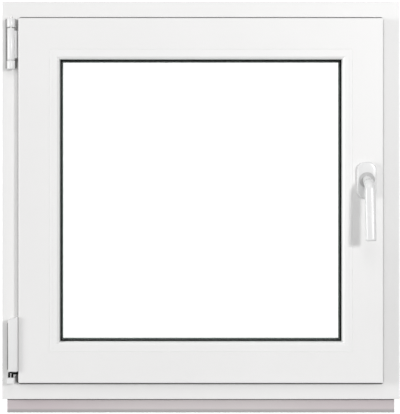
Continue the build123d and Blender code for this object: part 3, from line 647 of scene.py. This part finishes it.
# %% The top hinge's sizes
axis_low, axis_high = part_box("top_hinge_pin")
plate_low, plate_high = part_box("top_hinge_bracket")
_, leaf_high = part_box("top_hinge_stay_knuckle")
AXIS_X = (axis_low.x + axis_high.x) / 2
AXIS_Y = (axis_low.y + axis_high.y) / 2
CAP_X = AXIS_X - 0.0005
HINGE_TOP = axis_high.z - 0.0036
HINGE_FOOT = axis_low.z - 0.0012
SEAM = 0.0008
FINE_SEAM = SEAM * 0.4
HIGH_SEAM = HINGE_TOP - 0.0187
LOW_SEAM = HINGE_FOOT + 0.0176
KNUCKLE = 0.0083
STAY_KNUCKLE = 0.0074
PIN_HOLE = 0.0031
PLATE_THICK = 0.0030
WEB_LEFT, WEB_RIGHT = AXIS_X - 0.0060, AXIS_X + 0.0020
WEB_FRONT, WEB_BACK = AXIS_Y + 0.0050, FRAME_FACE - PLATE_THICK
WEB_SET_IN = 0.0012
print("the hinge is", round((HINGE_TOP - HINGE_FOOT) * 1000, 1), "mm tall")


# %% The caps
def knuckle_profile(radius, low, high, rim=0.0014):
    """A cap's outline: the bore, then a soft rim at each end."""
    soft = soft_edge(rim, (10, 35, 60, 90))
    foot = [(radius - inset, low + rise) for inset, rise in soft]
    head = [(radius - inset, high - rise) for inset, rise in reversed(soft)]
    return [(PIN_HOLE, low)] + foot + head + [(PIN_HOLE, high)]


bracket = Form()
for low, high in ((HINGE_FOOT, LOW_SEAM - FINE_SEAM), (HIGH_SEAM + SEAM, HINGE_TOP)):
    bracket.turned(CAP_X, AXIS_Y, knuckle_profile(KNUCKLE, low, high))
    web_low = (WEB_LEFT, WEB_FRONT, low + WEB_SET_IN)
    web_high = (WEB_RIGHT, WEB_BACK, high - WEB_SET_IN)
    bracket.block(web_low, web_high)
bracket.piece("hinge_caps", hinge_white, stands_for=["top_hinge_bracket"])

# %% The long cap with its leaf, and the plate
long_cap = knuckle_profile(STAY_KNUCKLE, LOW_SEAM + FINE_SEAM, HIGH_SEAM - SEAM)
stay = Form().turned(CAP_X, AXIS_Y, long_cap)
leaf_foot, leaf_head = LOW_SEAM + 0.005, HIGH_SEAM - 0.005
root_near, root_far = AXIS_X + 0.0035, AXIS_X + 0.0120
root_front, root_back = FRAME_FACE - 0.0100, FRAME_FACE - 0.0036
leaf_near, leaf_far = AXIS_X + 0.0040, leaf_high.x - 0.0040
leaf_front, leaf_back = FRAME_FACE - 0.0035, FRAME_FACE - 0.0009
stay.block((root_near, root_front, leaf_foot), (root_far, root_back, leaf_head))
stay.block((leaf_near, leaf_front, leaf_foot), (leaf_far, leaf_back, leaf_head))
stay.piece("hinge_long_cap", hinge_white, stands_for=["top_hinge_stay_knuckle"])

# painted shade: the plate is in the darker steel, so its edges show as shade lines beside the caps
plate_left, plate_right = plate_low.x + 0.0007, plate_high.x - 0.0002
plate_foot, plate_head = HINGE_FOOT + PLATE_THICK, HINGE_TOP + 0.0004
plate = Form().block(
    (plate_left, FRAME_FACE - PLATE_THICK, plate_foot),
    (plate_right, FRAME_FACE, plate_head),
)
plate.piece("hinge_plate", hinge_steel, slot="steel_zinc")

# %% [markdown]
# ## The bottom hinge
# It carries the sash's weight. A moulded cover with a sloping shoulder clips over its steel body,
# and under the cover the working parts can be seen: a black fork of two rounded prongs that hangs
# from a bar, the white bush behind it, and the angle that reaches down the sash's corner, its steel
# painted near black as painted shade in the gap. The cover could be a bevelled box, but its slope
# and its three radii are easier to draw as one outline that is repeated at a few heights. The fork
# is an outline too, given its thickness.

# %% The bottom hinge's cover
cover_low, cover_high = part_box("bottom_hinge_cover")
fork_low, fork_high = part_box("bottom_hinge_adjuster")
_, band_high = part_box("bottom_hinge_band")
COVER_RISE = 0.0088
SHOULDER = 0.0050
COVER_EDGE = 0.0024
COVER_SET_IN = 0.0017
COVER_RIM = 0.0008
COVER_FOOT = cover_low.z - 0.0013


def cover():
    """The cover: a D-shaped skin, rounded in at the foot and cut on a slope at the shoulder."""
    left = cover_low.x + COVER_SET_IN
    half_wide = (cover_high.x - left) / 2
    middle_x = (left + cover_high.x) / 2
    back, front = FRAME_FACE - 0.0003, cover_low.y

    def ring(inset, at):
        """One level of the cover, where at(x) gives its height."""
        points, corner = [], COVER_EDGE - inset
        for t in (radians(180 + 7.5 * n) for n in range(25)):
            side = 1 if cos(t) > 0 else -1
            x = middle_x + side * (half_wide - COVER_EDGE) + corner * cos(t)
            points.append((x, front + COVER_EDGE + corner * sin(t), at(x)))
        points.append((middle_x + half_wide - inset, back, at(middle_x + half_wide)))
        points.append((middle_x - half_wide + inset, back, at(middle_x - half_wide)))
        return points

    def shoulder(drop):
        top = cover_high.z + COVER_RISE - drop
        return lambda x: top - SHOULDER * (middle_x + half_wide - x) / (2 * half_wide)

    soft, sharper = soft_edge(COVER_RIM), 0.4
    foot = [ring(inset, lambda x, rise=rise: COVER_FOOT + rise) for inset, rise in soft]
    head = [ring(inset * sharper, shoulder(rise * sharper)) for inset, rise in reversed(soft)]
    return foot + head


skin("hinge_cover", cover(), cover_white, stands_for=["bottom_hinge_cover"])
# painted shade: a strip of the darker steel beside the cover's left edge stands for the shade line there
body_left, body_right = cover_low.x - 0.0021, cover_low.x + 0.0040
body_front, body_back = cover_low.y + 0.0140, FRAME_FACE - 0.0001
body_foot, body_head = COVER_FOOT + 0.002, cover_high.z - 0.004
body = Form().block((body_left, body_front, body_foot), (body_right, body_back, body_head))
body.piece("hinge_body", hinge_steel, slot="steel_zinc")

# %% The fork and its bush
PRONG, PRONG_NECK = 0.0021, 0.0015
FORK_FRONT, FORK_BACK = fork_low.y + 0.0009, fork_high.y - 0.0008
PRONG_SET_IN = 0.0005
LEANS = (-0.0002, 0.0004)
BAR_DEEP, BRIDGE_DEEP = 0.0042, 0.0018
BAR_BEHIND, BRIDGE_BEHIND = 0.0004, 0.0008
BAR_END = band_high.x - 0.0026
BUSH_OUTER, BUSH_INNER = 0.0033, 0.0026

fork = Form()
prongs = (fork_low.x + PRONG, fork_high.x - PRONG - PRONG_SET_IN)
for x, lean in zip(prongs, LEANS):
    turns = [radians(180 + 15 * n) for n in range(13)]
    bent = [(x + PRONG * cos(t), fork_low.z + PRONG + PRONG * sin(t)) for t in turns]
    outline = bent + [(x + lean + side * PRONG_NECK, fork_high.z) for side in (1, -1)]
    fork.rings([[(a, y, b) for a, b in outline] for y in (FORK_FRONT, FORK_BACK)])
fork.block(
    (prongs[1], FORK_FRONT + BAR_BEHIND, fork_high.z - BAR_DEEP),
    (BAR_END, FORK_BACK, fork_high.z),
)
fork.block(
    (prongs[0], FORK_FRONT + BRIDGE_BEHIND, fork_high.z - BRIDGE_DEEP),
    (prongs[1], FORK_BACK, fork_high.z),
)
fork.piece("hinge_fork", fork_black, stands_for=["bottom_hinge_adjuster"])

foot, head = fork_low.z, fork_high.z
bush = [(BUSH_INNER, foot), (BUSH_OUTER, foot), (BUSH_OUTER, head), (BUSH_INNER, head)]
bush_ring = Form().turned(AXIS_X, AXIS_Y, bush)
bush_ring.piece("hinge_bush", hinge_white, slot="hinge_white")

# %% [markdown]
# ## Recipes for what follows a path
# A gasket runs round the glass and the fin of a seal runs round the sash. Each is one section and
# a path that it follows, which is what Geometry Nodes are for. A Recipe is a tree with named inputs
# for its sizes. It ends in Realize Instances and Set Material, and the result is turned into a
# plain mesh, because an exported model holds no instances and no modifier.

# %% The recipe
class Recipe(Sheet):
    """A Geometry Nodes tree with named sizes, turned into a plain mesh when it is done."""

    def __init__(self, name, **sizes):
        super().__init__(bpy.data.node_groups.new(name, "GeometryNodeTree"))
        self.name, self.given = name, {}
        for label, value in sizes.items():
            kind = "NodeSocketFloat"
            socket = self.tree.interface.new_socket(label, in_out="INPUT", socket_type=kind)
            self.given[socket.identifier] = value
        kind = "NodeSocketGeometry"
        self.tree.interface.new_socket("Geometry", in_out="OUTPUT", socket_type=kind)
        self.source = self.tree.nodes.new("NodeGroupInput")

    def size(self, label):
        return Wire(self, self.source.outputs[label])

    def strip(self, across, y, z=MIDDLE_Z):
        """A strip of section Width by Thickness that runs round an upright rectangle at y."""
        path = self.node("GeometryNodeCurvePrimitiveQuadrilateral", None, across)
        bend = {"Curve": path, "Radius": self.size("Bend"), "Count": 7}
        path = self.node("GeometryNodeFilletCurve", {"mode": "POLY"}, bend)
        path = self.node("GeometryNodeSetCurveNormal", {"mode": "Z_UP"}, {"Curve": path})
        section = {"Width": self.size("Width"), "Height": self.size("Thickness")}
        drawn = self.node("GeometryNodeCurvePrimitiveQuadrilateral", None, section)
        edge = {"Curve": drawn, "Radius": self.size("Edge"), "Count": 4}
        drawn = self.node("GeometryNodeFilletCurve", {"mode": "POLY"}, edge)
        ring = self.node("GeometryNodeCurveToMesh", None, {"Curve": path, "Profile Curve": drawn})
        place = {"Geometry": ring, "Translation": (0, y, z), "Rotation": (radians(90), 0, 0)}
        return self.node("GeometryNodeTransform", None, place)

    def mesh(self, geometry, finish):
        """Ends the tree, runs it with its sizes and returns the plain mesh."""
        real = self.node("GeometryNodeRealizeInstances", None, {0: geometry})
        painted = self.node("GeometryNodeSetMaterial", None, {"Geometry": real, "Material": finish})
        end = self.tree.nodes.new("NodeGroupOutput")
        self.tree.links.new(painted.socket, end.inputs[0])
        host = bpy.data.objects.new(self.name, bpy.data.meshes.new(self.name))
        bpy.context.collection.objects.link(host)
        recipe = host.modifiers.new(self.name, "NODES")
        recipe.node_group = self.tree
        for identifier, value in self.given.items():
            recipe[identifier] = value
        graph = bpy.context.evaluated_depsgraph_get()
        made = bpy.data.meshes.new_from_object(host.evaluated_get(graph))
        bpy.data.objects.remove(host)
        return made


print("a Recipe ends in a plain mesh")

# %% [markdown]
# ## Glazing gaskets
# The black line round the glass is the lip of a rubber gasket on each side of the unit. It is a
# rounded strip that is bent round tightly at the corners. The strip's section follows a rectangle
# with small round corners, so its inner edge stays crisp and its outer edge hides under the bead.

# %% Glazing gaskets
GASKET_PROUD = 0.0029


def swept_gasket(name, node):
    """A rounded strip that follows the glass line in the place of one gasket solid."""
    low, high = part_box(node)
    lip = HALF - high.x
    wide = GLASS_LINE + GASKET_PROUD - lip
    thick = high.y - low.y
    sizes = {"Width": wide, "Thickness": thick, "Edge": thick * 0.36, "Bend": wide / 2 + 0.0008}
    recipe = Recipe(name, **sizes)
    reach = HALF - lip - wide / 2
    across = {"Width": 2 * reach, "Height": 2 * (reach - HALF + HALF_TALL)}
    mesh = recipe.mesh(recipe.strip(across, (low.y + high.y) / 2), gasket_black)
    return settle(name, mesh, gasket_black, stands_for=[node], sharp=50)


for side in ("inside", "outside"):
    gasket = swept_gasket("gasket_" + side, "gasket_glass_" + side)
    print("  its box", [round(v, 4) for v in (*gasket.bound_box[0], *gasket.bound_box[6])])

# %% [markdown]
# ## A dark fin under the sash's lip
# Where the sash laps over the frame, a thin dark fin lies on the frame and shows past the lip as a
# thin line all round: it is painted shade along the lap. It could be drawn as a dark stripe on the
# frame, but a fin throws its own shadow too. It is the same recipe with a thinner section, and its
# edge lies a little further out at the foot, where the photograph shows a thicker line.

# %% The dark fin of painted shade
# painted shade: a dark fin in gasket rubber along the lap, where the sash's lip shades the frame
FIN_WIDE, FIN_THICK, FIN_PROUD = 0.0046, 0.0006, 0.0004
FIN_SIDE, FIN_TOP, FIN_FOOT = 0.0320, 0.0314, 0.0303

fin_recipe = Recipe("lip_seal", Width=FIN_WIDE, Thickness=FIN_THICK, Edge=0.0002, Bend=0.0045)
across = {
    "Width": 2 * (HALF - FIN_SIDE) - FIN_WIDE,
    "Height": 2 * HALF_TALL - FIN_TOP - FIN_FOOT - FIN_WIDE,
}
fin_middle = MIDDLE_Z + (FIN_FOOT - FIN_TOP) / 2
fin = fin_recipe.strip(across, FRAME_FACE - FIN_PROUD, fin_middle)
fin_mesh = fin_recipe.mesh(fin, gasket_black)
settle("lip_seal", fin_mesh, gasket_black, sharp=50)

# %% [markdown]
# ## A plain studio
# The photograph is lit by a soft lamp from the right, which throws the handle's shadow, and a
# weaker one low at the left, with so much light all round that shadows are faint. A lamp above
# makes the top a little brighter than the foot, one behind lights the outer side, and a white
# world gives the fill. What the camera sees straight past the window is brighter still, which
# keeps the glass white. The floor is plain and pale. A paper sweep could close the background, but
# it would hide the window from behind.

# %% The floor
FLOOR_REACH = 1.0


def floor():
    """A pale sheet under the window that fades out before it can show behind the glass."""
    mesh = bpy.data.meshes.new("floor")
    r, drop = FLOOR_REACH, cad_low.z - 0.0002
    corners = [(-r, -r, drop), (r, -r, drop), (r, r, drop), (-r, r, drop)]
    mesh.from_pydata(corners, [], [(0, 1, 2, 3)])
    f = Finish("pale_floor")
    cloud = f.noise(f.place, 0.8, 2)
    x, y, _ = f.parts(f.place)
    away = (x * x + y * y) ** 0.5
    paint = f.shaded(
        Base_Color=f.mixed(cloud, grey(0.80), grey(0.86)),
        Roughness=0.6 + cloud * 0.1,
        Alpha=f.step(away, 0.45 * FLOOR_REACH, 0.98 * FLOOR_REACH, 0.35, 0.0),
    )
    mesh.materials.append(paint)
    piece = bpy.data.objects.new("floor", mesh)
    bpy.context.collection.objects.link(piece)
    piece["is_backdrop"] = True


floor()
print("the floor reaches", FLOOR_REACH, "m each way")


# %% World and lamps
def lamp(name, place, aim, size, watts):
    light = bpy.data.lights.new(name, "AREA")
    light.size, light.energy = size, watts
    piece = bpy.data.objects.new(name, light)
    piece.location = place
    piece.rotation_euler = (Vector(aim) - Vector(place)).to_track_quat("-Z", "Y").to_euler()
    piece.visible_camera = False
    bpy.context.collection.objects.link(piece)


def white_world(above, below, seen):
    """A white world, brighter above than below, and brightest where the camera sees it straight."""
    world = bpy.data.worlds.new("studio_white")
    bpy.context.scene.world = world
    world.use_nodes = True
    w = Sheet(world.node_tree)
    world.node_tree.nodes.clear()
    straight = w.node("ShaderNodeLightPath", out="Is Camera Ray")
    _, _, up = w.parts(w.node("ShaderNodeTexCoord", out="Generated"))
    light = w.step(up, -0.5, 0.5, below, above)
    strength = straight * (seen - light) + light
    back = w.node("ShaderNodeBackground", None, {"Color": grey(1), "Strength": strength})
    w.node("ShaderNodeOutputWorld", None, {"Surface": back})


white_world(0.43, 0.40, 1.4)
lamp("key", (1.75, -3.40, 1.10), (0, 0, 0.60), 0.45, 53)
lamp("left", (-5.4, -2.5, 0.90), (0, 0, 0.60), 2.0, 155)
lamp("top", (0.1, -1.9, 2.00), (0, 0, 0.7), 1.0, 7)
lamp("behind", (-1.4, 3.3, 1.90), (0, 0, 0.43), 1.5, 60)
bpy.context.scene.view_settings.view_transform = "Standard"
print("four soft lamps, white all round")

# %% [markdown]
# ## Both boxes
# The dressed window is meant to stay inside the solids' box, so both boxes are printed.

# %% Sizes at the end
low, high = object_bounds()
print("visual box from", tuple(low), "to", tuple(high))
